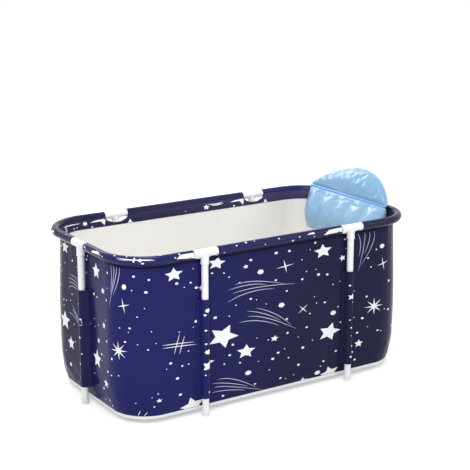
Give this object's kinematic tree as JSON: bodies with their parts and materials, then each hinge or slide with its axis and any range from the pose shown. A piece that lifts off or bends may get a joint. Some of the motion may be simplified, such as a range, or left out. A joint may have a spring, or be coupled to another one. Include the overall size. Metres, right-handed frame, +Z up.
{
  "type": "foldable bathtub",
  "caption": "Foldable bathtub: a padded fabric tub hung from a ring of pipes on push-in legs, with a wall drain and an inflatable head pillow.",
  "frame": {"origin": "on the floor under the middle of the tub", "axes": "+X towards the head end with the pillow, +Z up, -Y the front long side"},
  "size_m": [1.2, 0.65, 0.6788],
  "materials": {
    "white_plastic": "satin white PVC pipe",
    "foot_plastic": "white moulded end caps",
    "navy_fabric": "glossy navy PVC coated cloth with a printed star pattern in white",
    "foam": "closed-cell foam padding",
    "liner": "pale PVC film",
    "white_welt": "white PVC binding strip",
    "grey_sheet": "grey coated cloth",
    "drain_plastic": "white moulded plastic",
    "seal_rubber": "dark rubber washer",
    "blue_film": "glossy pale blue inflatable film",
    "valve_plastic": "pale blue soft plastic",
    "cup_rubber": "clear soft rubber"
  },
  "bodies": {
    "root": {"tee_front_left": "white_plastic", "tee_front_right": "white_plastic", "tee_right_end": "white_plastic", "tee_back_right": "white_plastic", "tee_back_left": "white_plastic", "tee_left_end": "white_plastic", "rail_front": "white_plastic", "rail_back": "white_plastic", "rail_corner_front_left": "white_plastic", "rail_corner_front_right": "white_plastic", "rail_corner_back_left": "white_plastic", "rail_corner_back_right": "white_plastic", "rim_sleeve_front": "navy_fabric", "rim_sleeve_back": "navy_fabric", "rim_sleeve_corner_front_left": "navy_fabric", "rim_sleeve_corner_front_right": "navy_fabric", "rim_sleeve_corner_back_left": "navy_fabric", "rim_sleeve_corner_back_right": "navy_fabric", "hem_ring": "navy_fabric", "outer_skin": "navy_fabric", "insulation_core": "foam", "inner_liner": "liner", "leg_pocket_front_left": "navy_fabric", "leg_pocket_front_right": "navy_fabric", "leg_pocket_right_end": "navy_fabric", "leg_pocket_back_right": "navy_fabric", "leg_pocket_back_left": "navy_fabric", "leg_pocket_left_end": "navy_fabric"},
    "base": {"base_welt": "white_welt", "base_sheet": "grey_sheet", "floor_foam": "foam", "drain_body": "drain_plastic", "drain_seal": "seal_rubber", "drain_strainer": "drain_plastic", "drain_nut": "drain_plastic"},
    "leg_front_left": {"leg_front_left": "white_plastic", "foot_front_left": "foot_plastic"},
    "leg_front_right": {"leg_front_right": "white_plastic", "foot_front_right": "foot_plastic"},
    "leg_right_end": {"leg_right_end": "white_plastic", "foot_right_end": "foot_plastic"},
    "leg_back_right": {"leg_back_right": "white_plastic", "foot_back_right": "foot_plastic"},
    "leg_back_left": {"leg_back_left": "white_plastic", "foot_back_left": "foot_plastic"},
    "leg_left_end": {"leg_left_end": "white_plastic", "foot_left_end": "foot_plastic"},
    "drain_cap": {"drain_cap": "drain_plastic"},
    "pillow": {"pillow_neck": "blue_film", "pillow_crease": "blue_film", "suction_cup_right_1": "cup_rubber", "suction_cup_left_1": "cup_rubber", "suction_cup_right_2": "cup_rubber", "suction_cup_left_2": "cup_rubber"},
    "pillow_head": {"pillow_head": "blue_film", "pillow_valve": "valve_plastic"},
    "valve_cap": {"pillow_valve_cap": "valve_plastic"}
  },
  "joints": [
    {"name": "fold", "type": "slide", "parent": "root", "child": "base", "axis": [0, 0, 1], "range_m": [0, 0.38], "deforming": ["outer_skin", "insulation_core", "inner_liner", "leg_pocket_front_left", "leg_pocket_front_right", "leg_pocket_right_end", "leg_pocket_back_right", "leg_pocket_back_left", "leg_pocket_left_end"]},
    {"name": "leg_front_left_pull", "type": "slide", "parent": "root", "child": "leg_front_left", "axis": [0, 0, -1], "range_m": [0, 0.495]},
    {"name": "leg_front_right_pull", "type": "slide", "parent": "root", "child": "leg_front_right", "axis": [0, 0, -1], "range_m": [0, 0.495]},
    {"name": "leg_right_end_pull", "type": "slide", "parent": "root", "child": "leg_right_end", "axis": [0, 0, -1], "range_m": [0, 0.495]},
    {"name": "leg_back_right_pull", "type": "slide", "parent": "root", "child": "leg_back_right", "axis": [0, 0, -1], "range_m": [0, 0.495]},
    {"name": "leg_back_left_pull", "type": "slide", "parent": "root", "child": "leg_back_left", "axis": [0, 0, -1], "range_m": [0, 0.495]},
    {"name": "leg_left_end_pull", "type": "slide", "parent": "root", "child": "leg_left_end", "axis": [0, 0, -1], "range_m": [0, 0.495]},
    {"name": "drain_cap_turn", "type": "hinge", "parent": "base", "child": "drain_cap", "pos_m": [-0.375, 0.302, 0.06], "axis": [0, 1, 0], "range_deg": [0, 720]},
    {"name": "pillow_lift", "type": "slide", "parent": "root", "child": "pillow", "axis": [-0.5, 0, 0.866], "range_m": [0, 0.25]},
    {"name": "pillow_tilt", "type": "hinge", "parent": "pillow", "child": "pillow_head", "pos_m": [0.52, 0, 0.588], "axis": [0, -1, 0], "range_deg": [-10, 60]},
    {"name": "valve_cap_open", "type": "hinge", "parent": "pillow_head", "child": "valve_cap", "pos_m": [0.5682, 0.122, 0.6049], "axis": [0.6561, 0, 0.7547], "range_deg": [0, 150]}
  ]
}
